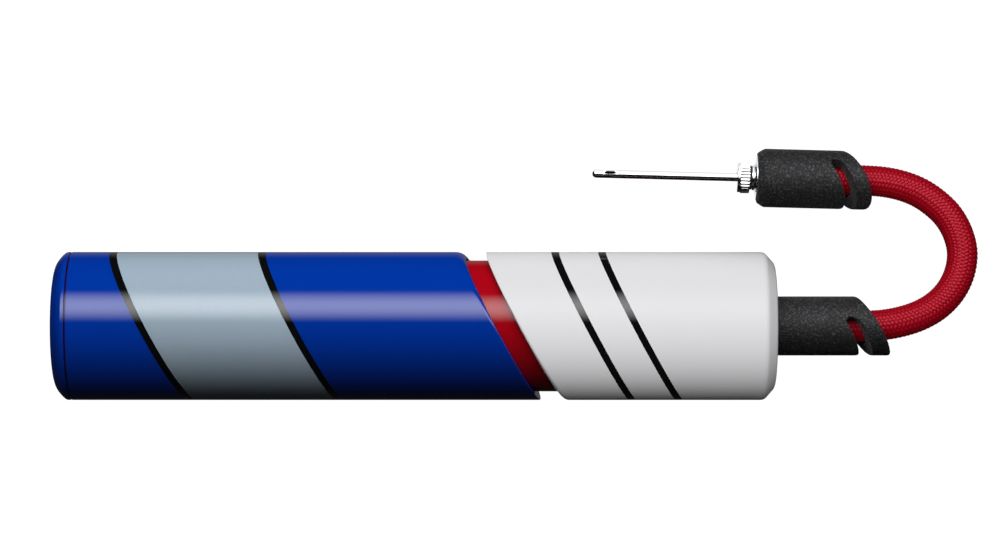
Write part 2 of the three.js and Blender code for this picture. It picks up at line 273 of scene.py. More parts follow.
def turningLines(tree, shader, pitch, depth):
    # fine rings left by the lathe: they run round the pump's axis and change only along it
    place = addNode(tree, "ShaderNodeTexCoord")
    along = addNode(tree, "ShaderNodeSeparateXYZ", {0: place.outputs["Object"]})
    count = addNode(tree, "ShaderNodeMath", {0: along.outputs["X"], 1: pitch * mm}, operation="DIVIDE")
    inputs = {"W": count.outputs[0], "Scale": 1.0, "Detail": 3.0, "Roughness": 0.6}
    lines = addNode(tree, "ShaderNodeTexNoise", inputs, noise_dimensions="1D")
    raised(tree, shader, lines.outputs[0], depth)
    return lines.outputs[0]


# Anodised aluminium, turned and then dyed blue under a clear seal: deep colour from the metal below,
# a hard clear reflection on top, with faint rings from the lathe in it.
blueFinish = dict(colour="#0037a6", smooth=0.36, rough=0.48, linePitch=0.22, lineDepth=0.0004)


def anodisedBlue():
    values = {"Specular IOR Level": 0.0, "Coat Weight": 1.0, "Coat Roughness": 0.03}
    material, tree, shader = newMaterial("anodised blue aluminium", blueFinish["colour"], values)
    lines = turningLines(tree, shader, blueFinish["linePitch"], blueFinish["lineDepth"])
    roughFrom(tree, shader, lines, blueFinish["smooth"], blueFinish["rough"])
    return material


# The same work dyed red on the barrel, a little more satin because the handle slides over it.
# The ring in the seam has the same finish, its red darkened nearly to black as painted shade of the
# narrow recess it sits in.
redFinish = dict(
    # seam: the ring's red darkened nearly to black, painted shade of its recess
    colour="#ac0617", seam="#2c0418", smooth=0.34, rough=0.46, linePitch=0.3, lineDepth=0.0006
)


def anodisedRed(name, colour):
    values = {"Specular IOR Level": 0.0, "Coat Weight": 0.75, "Coat Roughness": 0.05}
    material, tree, shader = newMaterial(name, colour, values)
    lines = turningLines(tree, shader, redFinish["linePitch"], redFinish["lineDepth"])
    roughFrom(tree, shader, lines, redFinish["smooth"], redFinish["rough"])
    return material


# Pad-printed ink under the clear seal: an even film that keeps the seal's reflection, with the
# slight mottle that a silicone pad leaves.
inkMottle = 0.8  # mm


def printedInk(name, colour, darker):
    values = {"Roughness": 0.5, "Specular IOR Level": 0.0, "Coat Weight": 1.0, "Coat Roughness": 0.04}
    material, tree, shader = newMaterial(name, colour, values)
    mottle = cloud(tree, inkMottle, 4.0)
    tone = mixColours(tree, mottle, colour, darker)
    tree.links.new(tone, shader.inputs["Base Color"])
    return material


# White ABS, injection moulded in a polished tool: bright body, soft sheen, barely visible ripple.
whiteFinish = dict(colour="#e6e6e8", smooth=0.3, rough=0.38, ripple=2.5, rippleDepth=0.002)


def mouldedAbs():
    values = {"Specular IOR Level": 0.12}
    material, tree, shader = newMaterial("moulded white ABS", whiteFinish["colour"], values)
    ripple = cloud(tree, whiteFinish["ripple"], 2.0)
    raised(tree, shader, ripple, whiteFinish["rippleDepth"])
    roughFrom(tree, shader, ripple, whiteFinish["smooth"], whiteFinish["rough"])
    return material


# Black rubber, moulded in a spark-eroded tool: charcoal, dull, a fine pebble grain with scattered
# lighter flecks, painted glints for the grain's sparkle, which are glossier as well. The real grain
# is about 0.2 mm across, and is drawn at 0.5 mm to show.
rubberFinish = dict(
    # bright is the colour of the painted glints in the flecks
    colour="#101011", pale="#2a2b2d", bright="#4c4d4f", grain=0.5, grainDepth=0.2, glintFleck=0.5
)


def grainedRubber():
    values = {"Specular IOR Level": 0.2, "Sheen Weight": 0.2, "Sheen Roughness": 0.4}
    material, tree, shader = newMaterial("grained black rubber", rubberFinish["colour"], values)
    grain = cloud(tree, rubberFinish["grain"], 3.0)
    raised(tree, shader, grain, rubberFinish["grainDepth"])
    pebble = addNode(tree, "ShaderNodeMapRange", {"Value": grain, "From Min": 0.35, "From Max": 0.65})
    base = mixColours(tree, pebble.outputs[0], rubberFinish["colour"], rubberFinish["pale"])
    glintFleck = cloud(tree, rubberFinish["glintFleck"], 1.0)
    glintSpot = addNode(tree, "ShaderNodeMapRange", {"Value": glintFleck, "From Min": 0.56, "From Max": 0.74})
    # lighter flecks: painted glints for the rubber's sparkle, made glossier below as well
    glintFlecked = mixColours(tree, glintSpot.outputs[0], rubberFinish["colour"], rubberFinish["bright"])
    tree.links.new(base, glintFlecked.node.inputs[6])  # the flecks lie on the pebbled base
    tree.links.new(glintFlecked, shader.inputs["Base Color"])
    roughFrom(tree, shader, glintSpot.outputs[0], 0.6, 0.35)
    return material


# Bright nickel-chrome plate on turned brass: a mirror, softened a little by handling.
chromeFinish = dict(colour="#e4e6e8", smooth=0.06, rough=0.16, haze=0.6)


def chromePlate():
    material, tree, shader = newMaterial("chrome plate", chromeFinish["colour"], {"Metallic": 1.0})
    film = cloud(tree, chromeFinish["haze"], 3.0)
    roughFrom(tree, shader, film, chromeFinish["smooth"], chromeFinish["rough"])
    return material


# Polyester braid: each yarn is a flat bundle of glossy filaments, so it has a silky streak along
# it, pinker than its dye; the deep places between yarns stay dark. The real filaments are 0.02 mm
# across, and are drawn at 0.12 mm to show.
braidFinish = dict(
    colour="#bd081f", deep="#6a020d", shine="#ff7f96", filament=0.12, filamentDepth=0.012
)


def polyesterYarn():
    values = {"Roughness": 0.32, "Specular Tint": linear(braidFinish["shine"])}
    material, tree, shader = newMaterial("polyester yarn", braidFinish["colour"], values)
    fibres = cloud(tree, braidFinish["filament"], 2.0)
    tone = mixColours(tree, fibres, braidFinish["deep"], braidFinish["colour"])
    tree.links.new(tone, shader.inputs["Base Color"])
    raised(tree, shader, fibres, braidFinish["filamentDepth"])
    return material


# Drilled brass that the plating didn't reach: dull dark grey, with rings from the drill.
boreFinish = dict(colour="#3a3b3d", rough=0.5, linePitch=0.2, lineDepth=0.004)


def drilledBore():
    values = {"Metallic": 1.0, "Roughness": boreFinish["rough"]}
    material, tree, shader = newMaterial("drilled bore", boreFinish["colour"], values)
    turningLines(tree, shader, boreFinish["linePitch"], boreFinish["lineDepth"])
    return material


# Extruded rubber under the braid: dull red, darkened further as painted shade so that the gaps between
# yarns look deep.
liningFinish = dict(colour="#30060a", rough=0.7, grain=0.3, grainDepth=0.02)


def rubberLining():
    values = {"Roughness": liningFinish["rough"]}
    material, tree, shader = newMaterial("hose lining", liningFinish["colour"], values)
    raised(tree, shader, cloud(tree, liningFinish["grain"], 2.0), liningFinish["grainDepth"])
    return material


# Plain engineering finishes of the inner pieces: turned metal shows its tool rings, moulded
# plastic a faint cloud.
def innerFinish(name, colour, metallic, rough, pitch, depth):
    material, tree, shader = newMaterial(name, colour, {"Metallic": metallic, "Roughness": rough})
    turningLines(tree, shader, pitch, depth)
    return material


blue = anodisedBlue()
red = anodisedRed("anodised red aluminium", redFinish["colour"])
# the seam ring's red, darkened nearly to black: painted shade of its recess
seamShadeRed = anodisedRed("anodised red aluminium darkened as seam shade", redFinish["seam"])
paleInk = printedInk("pale blue printed ink", "#a9bccb", "#a2b5c5")
blackInk = printedInk("black printed ink", "#09090a", "#0e0e0f")
white = mouldedAbs()
rubber = grainedRubber()
chrome = chromePlate()
bored = drilledBore()
yarn = polyesterYarn()
lining = rubberLining()
print("finishes ready")

addCamera()


# the hose: its route, the same as the CAD tube's, in metres
hoseRoute = [
    (0.1043, 0, 0.019),
    (0.110, 0, 0.019),
    (0.116, 0, 0.019),
    (0.1205, 0.0003, 0.019),
    (0.1252, 0.0012, 0.0189),
    (0.1299, 0.0028, 0.0184),
    (0.1343, 0.0054, 0.0176),
    (0.1379, 0.0091, 0.0165),
    (0.1403, 0.0138, 0.0152),
    (0.1411, 0.0191, 0.0138),
    (0.140, 0.0242, 0.0123),
    (0.1376, 0.0286, 0.0109),
    (0.1342, 0.032, 0.0097),
    (0.1303, 0.0346, 0.0088),
    (0.126, 0.0363, 0.0081),
    (0.1215, 0.03725, 0.0077),
    (0.117, 0.0376, 0.0076),
    (0.110, 0.03779, 0.0076),
    (0.1028, 0.03798, 0.0076),
]


def smoothRoute(points, steps=24):
    # a centripetal curve through every point, sampled finely
    pts = [np.array(p) / mm for p in points]
    pts = [2 * pts[0] - pts[1]] + pts + [2 * pts[-1] - pts[-2]]
    line = []
    for i in range(1, len(pts) - 2):
        p0, p1, p2, p3 = pts[i - 1 : i + 3]
        d0, d1, d2 = (math.sqrt(np.linalg.norm(b - a)) for a, b in ((p0, p1), (p1, p2), (p2, p3)))
        m1 = ((p1 - p0) / d0 - (p2 - p0) / (d0 + d1) + (p2 - p1) / d1) * d1
        m2 = ((p2 - p1) / d1 - (p3 - p1) / (d1 + d2) + (p3 - p2) / d2) * d1
        for k in range(steps):
            t = k / steps
            line.append(
                (2 * t**3 - 3 * t**2 + 1) * p1
                + (t**3 - 2 * t**2 + t) * m1
                + (3 * t**2 - 2 * t**3) * p2
                + (t**3 - t**2) * m2
            )
    line.append(pts[-2])
    return np.array(line)


def framesAlong(line, gap):
    # evenly spaced places on the line, with two cross directions that don't twist
    gone = np.concatenate([[0], np.cumsum(np.linalg.norm(np.diff(line, axis=0), axis=1))])
    places = np.linspace(0, gone[-1], int(round(gone[-1] / gap)) + 1)
    centre = np.stack([np.interp(places, gone, line[:, k]) for k in range(3)], axis=1)
    ahead = np.gradient(centre, places, axis=0)
    ahead /= np.linalg.norm(ahead, axis=1)[:, None]
    across = np.zeros_like(centre)
    across[0] = (0, 0, 1)
    for i in range(1, len(places)):
        step = across[i - 1] - ahead[i] * np.dot(across[i - 1], ahead[i])
        across[i] = step / np.linalg.norm(step)
    return places, centre, ahead, across, np.cross(ahead, across)


hose = dict(
    diameter=8, yarns=10, layPitch=10.0, middle=3.7, weave=0.12, thick=0.17, wide=0.92, swell=0.1,
    lining=3.4, liningSides=40,
)
# a yarn's section, across it and up: a flat bundle with rounded sides
yarnSection = [
    (-0.5, -0.1),
    (-0.4, 0.55),
    (-0.2, 0.9),
    (0, 1),
    (0.2, 0.9),
    (0.4, 0.55),
    (0.5, -0.1),
    (0, -0.8),
]


def hoseBraid():
    # ten yarns each way, over one and under one; a yarn swings out and widens where it lies on top
    crossing = hose["layPitch"] / (2 * hose["yarns"])
    line = smoothRoute(hoseRoute)
    places, centre, ahead, acrossA, acrossB = framesAlong(line, crossing / 4)
    count = len(places)
    verts, faces, inks = [], [], []
    lay = math.atan2(2 * math.pi * hose["middle"], hose["layPitch"])
    for turn in (1, -1):
        onTop = turn * np.cos(math.pi * places / crossing)
        for i in range(hose["yarns"]):
            angle = 2 * math.pi * (i / hose["yarns"] + turn * places / hose["layPitch"])
            out = acrossA * np.cos(angle)[:, None] + acrossB * np.sin(angle)[:, None]
            around = np.cross(ahead, out)
            wide = around * math.cos(lay) - turn * ahead * math.sin(lay)
            middle = centre + out * (hose["middle"] + hose["weave"] * onTop)[:, None]
            wide *= hose["wide"] * (1 + hose["swell"] * onTop)[:, None]
            start = len(verts)
            for u, v in yarnSection:
                verts.extend((middle + wide * u + out * v * hose["thick"]).tolist())
            sides = len(yarnSection)
            for k in range(sides):
                a = start + k * count
                b = start + ((k + 1) % sides) * count
                strip = [(a + j, a + j + 1, b + j + 1, b + j) for j in range(count - 1)]
                faces.extend(strip)
                inks.extend([0] * len(strip))
            faces.append([start + k * count for k in range(sides)])
            faces.append([start + k * count + count - 1 for k in reversed(range(sides))])
            inks.extend([0, 0])
    # the rubber lining that shows between the yarns; its darkened colour is partly painted shade in
    # the gaps
    sides = hose["liningSides"]
    start = len(verts)
    every = list(range(0, count, 3)) + ([count - 1] if (count - 1) % 3 else [])
    for j in every:
        for k in range(sides):
            turned = 2 * math.pi * k / sides
            out = acrossA[j] * math.cos(turned) + acrossB[j] * math.sin(turned)
            verts.append(tuple(centre[j] + out * hose["lining"]))
    for n in range(len(every) - 1):
        for k in range(sides):
            a = start + n * sides + k
            b = start + n * sides + (k + 1) % sides
            faces.append((a, b, b + sides, a + sides))
            inks.append(1)
    faces.append([start + k for k in reversed(range(sides))])
    faces.append([start + (len(every) - 1) * sides + k for k in range(sides)])
    inks.extend([1, 1])
    piece = newPiece("hose_braid", verts, faces, [yarn, lining], inks, smooth=60)
    settle(piece, "hose", "head")
    return piece, places[-1], centre[::4]


braidedHose, hoseLength, hosePath = hoseBraid()
print("hose braided,", round(hoseLength, 1), "mm long")


# the handle: blue sleeve with its printed band, cap and the thin red ring in the seam
sleeve = dict(left=-87.9, bushRight=8, mouth=17.15, counterbore=17.65)
band = dict(left=-66, right=-30, line=2.0)  # where its edges cross the top of the sleeve


def handleSleeve():
    left = sleeve["left"]
    cutX = sleeveHigh.x - partingReach
    piece = turnedSkin(
        "sleeve_skin",
        [
            corner(left, bodyRadius, cut=0.15),
            corner(band["left"] - band["line"], bodyRadius, lean=1, ink=1),
            corner(band["left"], bodyRadius, lean=1, ink=2),
            corner(band["right"], bodyRadius, lean=1, ink=1),
            corner(band["right"] + band["line"], bodyRadius, lean=1),
            corner(cutX, bodyRadius, cut=2.1, down=1.7, lean=1, swing=0.2, bend=3),
            corner(cutX, sleeve["mouth"], cut=0.25, lean=1),
            corner(sleeve["bushRight"], sleeve["mouth"]),
            corner(sleeve["bushRight"], sleeve["counterbore"]),
            corner(left, sleeve["counterbore"], cut=0.15),
        ],
        [blue, blackInk, paleInk],
        columns=224,
    )
    settle(piece, "handle_sleeve", "handle")


cap = dict(
    faceRadius=15.9, bevel=2.7, shoulder=-88.3, spigot=17.35, lockSeat=13, rodHole=3.3, socket=2.2
)


def handleCap():
    face = capLow.x
    piece = turnedSkin(
        "cap_skin",
        [
            corner(face, 0),
            corner(face, cap["faceRadius"], cut=2.0),
            corner(face + cap["bevel"], bodyRadius, cut=1.6, down=0.6),
            corner(cap["shoulder"], bodyRadius, cut=0.12, down=0.3),
            corner(cap["shoulder"], cap["spigot"]),
            corner(capHigh.x, cap["spigot"], cut=0.4),
            corner(capHigh.x, cap["lockSeat"], cut=0.3),
            corner(cap["shoulder"], cap["lockSeat"]),
            corner(cap["shoulder"], cap["rodHole"]),
            corner(cap["shoulder"] - cap["socket"], cap["rodHole"]),
            corner(cap["shoulder"] - cap["socket"], 0),
        ],
        [blue],
        columns=224,
    )
    settle(piece, "handle_cap", "handle")


def seamRing():
    inner = sleeve["counterbore"] - 0.2
    outer = (ringHigh.z - ringLow.z) / 2 - 0.05
    piece = turnedSkin(
        "seam_ring",
        [
            corner(cap["shoulder"], outer, cut=0.08),
            corner(sleeve["left"], outer, cut=0.08),
            corner(sleeve["left"], inner),
            corner(cap["shoulder"], inner),
        ],
        # red darkened nearly to black: painted shade of the seam's recess
        [seamShadeRed],
    )
    settle(piece, "cap_ring", "handle")


barrelWall = 1.5


def barrelSkin():
    inner = barrelRadius - barrelWall
    piece = turnedSkin(
        "barrel_skin",
        [
            corner(barrelLow.x, barrelRadius, cut=0.4),
            corner(barrelHigh.x, barrelRadius, cut=0.4),
            corner(barrelHigh.x, inner, cut=0.2),
            corner(barrelLow.x, inner, cut=0.2),
        ],
        [red],
        columns=192,
    )
    settle(piece, "barrel_tube", "head")


# the white grip: one moulding with its end wall, which has the pocket for the nut
grip = dict(faceRadius=15.9, bevel=2.7, pocket=7.2, pocketDepth=3, hole=5.2, wallX=87)
gripLines = dict(places=(45, 57), wide=2.0)


def gripSkin():
    cutX = gripLow.x + partingReach
    lines = []
    for x in gripLines["places"]:
        lines.append(corner(x, bodyRadius, lean=1, ink=1))
        lines.append(corner(x + gripLines["wide"], bodyRadius, lean=1))
    right = gripHigh.x
    piece = turnedSkin(
        "grip_skin",
        [
            corner(cutX, bodyRadius, cut=0.5, down=0.24, lean=1, swing=5.5),
            *lines,
            corner(right - grip["bevel"], bodyRadius, cut=0.9),
            corner(right, grip["faceRadius"], cut=0.8),
            corner(right, grip["pocket"], cut=0.3),
            corner(right - grip["pocketDepth"], grip["pocket"]),
            corner(right - grip["pocketDepth"], grip["hole"]),
            corner(grip["wallX"], grip["hole"]),
            corner(grip["wallX"], sleeve["mouth"]),
            corner(cutX, sleeve["mouth"], cut=0.2, lean=1),
        ],
        [white, blackInk],
        columns=224,
    )
    settle(piece, "grip_shell", "head")
    return piece


handleSleeve()
handleCap()
seamRing()
barrelSkin()
gripPiece = gripSkin()
print("handle, barrel and grip turned")


# the two rubber boots
boot = dict(length=25, uncut=40, mouth=4.3, socket=5.3, stepX=14.4, leanY=0.566, leanZ=0.22)
# a slot's edges are measured back from the slanted end, its round ends in degrees from the top
nearSlot = dict(front=4.6, back=8.0, leanZ=0.22, start=18, end=-165)
farSlot = dict(front=3.6, back=6.6, leanZ=0.12, start=18, end=-165)
farRoll = 27  # degrees that the needle's boot is turned about its own axis
bootVoxel = 0.22  # mm, fine enough to keep the slots' edges


def slantedBlock(reach, half=20):
    # everything past the boot's slanted end
    verts = []
    for x in (0, reach):
        for y in (-half, half):
            for z in (-half, half):
                verts.append((boot["length"] + x - boot["leanY"] * y + boot["leanZ"] * z, y, z))
    faces = [(0, 1, 3, 2), (4, 6, 7, 5), (0, 4, 5, 1), (2, 3, 7, 6), (0, 2, 6, 4), (1, 5, 7, 3)]
    return newPiece("boot_end", verts, faces, [])


def slotTool(slot):
    # a slot with round ends, wrapped round the boot and leaning with its slanted end; it is cut
    # from just inside the mouth to well outside the boot
    inside, outside = boot["mouth"] - 0.6, 13
    half = (slot["back"] - slot["front"]) / 2
    middle = boot["length"] - (slot["back"] + slot["front"]) / 2
    first, last = math.radians(slot["end"]), math.radians(slot["start"])
    capAngle = half / bootRadius
    angles = [first + capAngle * (1 - math.cos(t)) for t in np.linspace(0.15, math.pi / 2, 8)]
    angles += list(np.linspace(first + capAngle, last - capAngle, 60))[1:-1]
    angles += [last - capAngle * (1 - math.cos(t)) for t in np.linspace(math.pi / 2, 0.15, 8)]
    verts, faces = [], []
    for angle in angles:
        near = min(angle - first, last - angle, capAngle) / capAngle
        wide = half * math.sqrt(1 - (1 - near) ** 2)
        for r, side in ((inside, -wide), (inside, wide), (outside, wide), (outside, -wide)):
            y, z = r * math.sin(angle), r * math.cos(angle)
            verts.append((middle + side - boot["leanY"] * y + slot["leanZ"] * z, y, z))
    for k in range(len(angles) - 1):
        for m in range(4):
            a, b = 4 * k + m, 4 * k + (m + 1) % 4
            faces.append((a, b, b + 4, a + 4))
    faces.append((3, 2, 1, 0))
    faces.append([4 * (len(angles) - 1) + m for m in range(4)])
    return newPiece("boot_slot", verts, faces, [])


def bootSkin(name, node, place, rootX, bevel, slot):
    outer = turnedSkin(
        name,
        [
            corner(rootX, bootRadius - bevel["radial"]),
            corner(rootX + bevel["axial"], bootRadius),
            corner(boot["uncut"], bootRadius),
            corner(boot["uncut"], boot["mouth"]),
            corner(boot["stepX"], boot["mouth"]),
            corner(boot["stepX"], boot["socket"]),
            corner(rootX, boot["socket"]),
        ],
        [rubber],
        place=Matrix.Identity(4),
        columns=128,
    )
    tools = [slantedBlock(30), slotTool(slot)]
    for tool in tools:
        trim = outer.modifiers.new("trim", "BOOLEAN")
        trim.operation = "DIFFERENCE"
        trim.solver = "EXACT"
        trim.object = tool
    fine = outer.modifiers.new("fine", "REMESH")
    fine.mode = "VOXEL"
    fine.voxel_size = bootVoxel * mm
    ease = outer.modifiers.new("ease", "SMOOTH")
    ease.factor = 0.5
    ease.iterations = 8
    applyModifiers(outer)
    for tool in tools:
        bpy.data.objects.remove(tool)
    outer.data.transform(Matrix.Scale(mm, 4) @ place @ Matrix.Scale(1 / mm, 4))
    outer.data.materials.clear()
    outer.data.materials.append(rubber)
    outer.data.shade_smooth()
    settle(outer, node, "head")
    return outer


nearPlace = Matrix.Translation((gripHigh.x, 0, axisHeight))
farPlace = farAxis @ Matrix.Rotation(math.radians(-farRoll), 4, "X")
nearBevel = dict(axial=0.4, radial=0.4)
farBevel = dict(axial=1.8, radial=1.1)
nearBoot = bootSkin("near_boot_skin", "near_boot", nearPlace, 0.3, nearBevel, nearSlot)
farBoot = bootSkin("far_boot_skin", "far_boot", farPlace, 0, farBevel, farSlot)
print("boots moulded")


# the needle's end: socket, gasket, knurled hub and the needle itself, on the far boot's axis
socket = dict(
    lip=-1.3, neck=-0.9, flare=-0.3, back=-0.1, neckRadius=3.3, flareRadius=5.8, body=4.9, bore=2.4,
    boreEnd=4.2, air=1.2,
)
barb = dict(left=6.5, length=7, root=2.3, tip=2.75, count=3)


def socketSkin():
    pitch = barb["length"] / (barb["count"] + 1)
    barbs = [corner(barb["left"], barb["root"]), corner(barb["left"] + pitch - 0.05, barb["root"])]
    for i in range(barb["count"]):
        barbs.append(corner(barb["left"] + (i + 1) * pitch, barb["tip"]))
        barbs.append(corner(barb["left"] + (i + 2) * pitch - 0.05, barb["root"]))
    piece = turnedSkin(
        "socket_skin",
        [
            corner(socket["lip"], socket["neckRadius"], cut=0.12),
            corner(socket["neck"], socket["neckRadius"], cut=0.1),
            corner(socket["flare"], socket["flareRadius"], cut=0.12),
            corner(socket["back"], socket["flareRadius"]),
            corner(socket["back"], socket["body"]),
            corner(barb["left"], socket["body"], cut=0.3),
            *barbs,
            corner(barb["left"] + barb["length"], socket["air"]),
            corner(socket["boreEnd"], socket["air"]),
            corner(socket["boreEnd"], socket["bore"]),
            corner(socket["lip"], socket["bore"], cut=0.15),
        ],
        [chrome],
        place=farAxis,
        columns=96,
    )
    settle(piece, "needle_socket", "head")
    return piece


gasket = dict(left=-1.9, right=-1.35, outer=3.1, inner=2.4)


def gasketSkin():
    piece = turnedSkin(
        "gasket_skin",
        [
            corner(gasket["left"], gasket["outer"], cut=0.15),
            corner(gasket["right"], gasket["outer"], cut=0.15),
            corner(gasket["right"], gasket["inner"]),
            corner(gasket["left"], gasket["inner"]),
        ],
        [rubber],
        place=farAxis,
        columns=96,
    )
    settle(piece, "needle_gasket", "needle_seat")
    return piece


hub = dict(
    left=-5.2, right=-1.95, radius=4.1, faceRadius=3.9, rim=0.8, teeth=28, tooth=0.25, neck=1.8,
    thread=2.05, threadEnd=3.5, bore=1.3, air=0.7, stop=-2.8,
)
threadPitch = 0.794
threadDepth = 0.3


def knurl(x, angle):
    return -hub["tooth"] * (0.5 - 0.5 * math.cos(hub["teeth"] * angle)) ** 2.5


def thread(x, angle):
    # right-handed: the crest moves along the needle as it goes round
    phase = (x / threadPitch + angle / (2 * math.pi)) % 1
    return -threadDepth * abs(2 * phase - 1)


def hubSkin():
    grooved = np.linspace(hub["left"] + hub["rim"] + 0.1, hub["right"] - 0.12, 6)
    knurled = [corner(x, hub["radius"], wave=1) for x in grooved]
    turned = np.linspace(hub["right"] + 0.4, hub["threadEnd"] - 0.3, 46)
    threaded = [corner(x, hub["thread"], wave=2) for x in turned]
    piece = turnedSkin(
        "hub_skin",
        [
            corner(hub["left"], hub["faceRadius"], cut=0.45),
            corner(hub["left"] + hub["rim"], hub["faceRadius"], cut=0.05),
            *knurled,
            corner(hub["right"], 3.85, cut=0.05),
            corner(hub["right"], hub["neck"]),
            *threaded,
            corner(hub["threadEnd"], hub["neck"] - threadDepth),
            corner(hub["threadEnd"], hub["air"]),
            corner(hub["stop"], hub["air"]),
            corner(hub["stop"], hub["bore"]),
            corner(hub["left"], hub["bore"], cut=0.12),
        ],
        [chrome],
        place=farAxis,
        columns=12 * hub["teeth"],
        waves={1: knurl, 2: thread},
        smooth=50,
    )
    settle(piece, "needle_hub", "needle")
    return piece


needle = dict(length=42.8, radius=1.1, bore=0.7, stop=-3.0)
# turn is in degrees from the top, towards +Y
sideHole = dict(x=-38.1, long=2.1, wide=0.8, reach=3, sides=24, turn=20)


def needleSkin():
    tip = -needle["length"]
    dome = []
    for k in range(8):
        t = math.pi / 2 * k / 7
        dome.append(corner(tip + needle["radius"] * (1 - math.cos(t)), needle["radius"] * math.sin(t)))
    piece = turnedSkin(
        "needle_skin",
        [
            *dome,
            corner(sideHole["x"] - sideHole["long"], needle["radius"]),
            corner(sideHole["x"] + sideHole["long"], needle["radius"]),
            corner(needle["stop"], needle["radius"], ink=1),
            corner(needle["stop"], needle["bore"], ink=1),
            corner(tip + 1.6, needle["bore"], ink=1),
            corner(tip + 1.9, 0),
        ],
        [chrome, bored],
        place=Matrix.Identity(4),
        columns=64,
        smooth=40,
    )
    # the side hole, an oval
    sides = sideHole["sides"]
    half = (sideHole["long"] - sideHole["wide"]) / 2
    outline = []
    for k in range(sides):
        t = 2 * math.pi * (k + 0.5) / sides
        x = sideHole["x"] + sideHole["wide"] / 2 * math.cos(t) + math.copysign(half, math.cos(t))
        outline.append((x, sideHole["wide"] / 2 * math.sin(t)))
    verts = [(x, y, z) for z in (0, sideHole["reach"]) for x, y in outline]
    faces = [(k, (k + 1) % sides, sides + (k + 1) % sides, sides + k) for k in range(sides)]
    faces += [list(reversed(range(sides))), list(range(sides, 2 * sides))]
    turned = Matrix.Rotation(math.radians(-sideHole["turn"]), 4, "X")
    tool = newPiece("needle_hole", verts, faces, [bored], place=turned)
    drill = piece.modifiers.new("drill", "BOOLEAN")
    drill.operation = "DIFFERENCE"
    drill.solver = "EXACT"
    drill.object = tool
    applyModifiers(piece)
    bpy.data.objects.remove(tool)
    piece.data.transform(Matrix.Scale(mm, 4) @ farAxis @ Matrix.Scale(1 / mm, 4))
    settle(piece, "needle_tube", "needle")
    return piece


needleEnd = [socketSkin(), gasketSkin(), hubSkin(), needleSkin()]
print("needle end made")


# the check valve's spring: its end turns are closed
spring = dict(turns=5, radius=1.9, wire=0.25, endPitch=0.52, sides=10, stepsPerTurn=32)


def valveSpring():
    low, high = nodeBox("valve_spring")
    first, last = low.x + spring["wire"], high.x - spring["wire"]
    turns = np.linspace(0, spring["turns"], spring["turns"] * spring["stepsPerTurn"] + 1)
    bends = [0, 1, spring["turns"] - 1, spring["turns"]]
    stops = [first, first + spring["endPitch"], last - spring["endPitch"], last]
    along = np.interp(turns, bends, stops)
    angles = 2 * math.pi * turns
    out = np.stack([np.zeros_like(turns), np.cos(angles), np.sin(angles)], axis=1)
    centre = out * spring["radius"] + np.outer(along, (1, 0, 0))
    ahead = np.gradient(centre, axis=0)
    ahead /= np.linalg.norm(ahead, axis=1)[:, None]
    side = np.cross(ahead, out)
    sides = spring["sides"]
    verts, faces = [], []
    for i in range(len(turns)):
        for k in range(sides):
            t = 2 * math.pi * k / sides
            off = out[i] * math.cos(t) + side[i] * math.sin(t)
            verts.append(tuple(centre[i] + spring["wire"] * off))
    for i in range(len(turns) - 1):
        for k in range(sides):
            a, b = sides * i + k, sides * i + (k + 1) % sides
            faces.append((a, b, b + sides, a + sides))
    faces.append(list(reversed(range(sides))))
    faces.append(list(range(len(verts) - sides, len(verts))))
    # drawn wire: brighter than the turned pieces, with finer lines
    wire = innerFinish("drawn steel wire", "#8f9296", 1.0, 0.3, 0.08, 0.001)
    piece = newPiece("spring_coil", verts, faces, [wire], place=pumpAxis, smooth=60)
    settle(piece, "valve_spring", "head")
    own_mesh(piece)


valveSpring()
print("spring coiled")


# the inner CAD pieces keep their shape and take these finishes: colour, metallic, roughness, and
# the pitch and depth of their tool rings in millimetres
innerFinishes = {
    "turned steel": ("#9a9da1", 1.0, 0.32, 0.15, 0.002),
    "turned brass": ("#c2a05f", 1.0, 0.3, 0.2, 0.003),
    "natural nylon": ("#e0dccd", 0.0, 0.5, 0.6, 0.004),
    "black acetal": ("#2b2d31", 0.0, 0.4, 0.5, 0.003),
}
steelPieces = ["piston_rod", "rod_nut", "piston_washer", "piston_bolt", "valve_ball"]
innerPieces = {
    "turned steel": steelPieces + ["near_ferrule", "far_ferrule"],
    "turned brass": ["grip_nut", "hose_nipple"],
    "natural nylon": ["sleeve_bush", "gland_bush"],
    "black acetal": ["piston_core", "barrel_gland", "head_plug"],
}
rubberPieces = ["intake_ring", "end_bumper", "head_seal_1", "head_seal_2", "valve_seat"]


def finishPieces(nodes, material):
    for node in nodes:
        for place in frame["nodes"][node].material_slots:
            place.material = material


for name, nodes in innerPieces.items():
    finishPieces(nodes, innerFinish(name, *innerFinishes[name]))
finishPieces(rubberPieces, rubber)
print("inner pieces finished")


# floor and light
def addFloor():
    size = 2500
    under = -0.2  # just clear of the pump
    verts = [(-size, -size, under), (size, -size, under), (size, size, under), (-size, size, under)]
    floor = newPiece("floor", verts, [(0, 1, 2, 3)], [])
    material = bpy.data.materials.new("white backdrop paper")
    material.use_nodes = True
    tree = material.node_tree
    tree.nodes.clear()
    glow = addNode(tree, "ShaderNodeEmission", {"Color": (1, 1, 1, 1), "Strength": 1.02})
    paper = addNode(tree, "ShaderNodeBsdfDiffuse", {"Color": (0.1, 0.1, 0.1, 1)})
    both = addNode(tree, "ShaderNodeAddShader", {0: glow.outputs[0], 1: paper.outputs[0]})
    addNode(tree, "ShaderNodeOutputMaterial", {"Surface": both.outputs[0]})
    floor.data.materials.append(material)
    floor.visible_diffuse = False
    floor.visible_glossy = False
    floor.visible_shadow = False


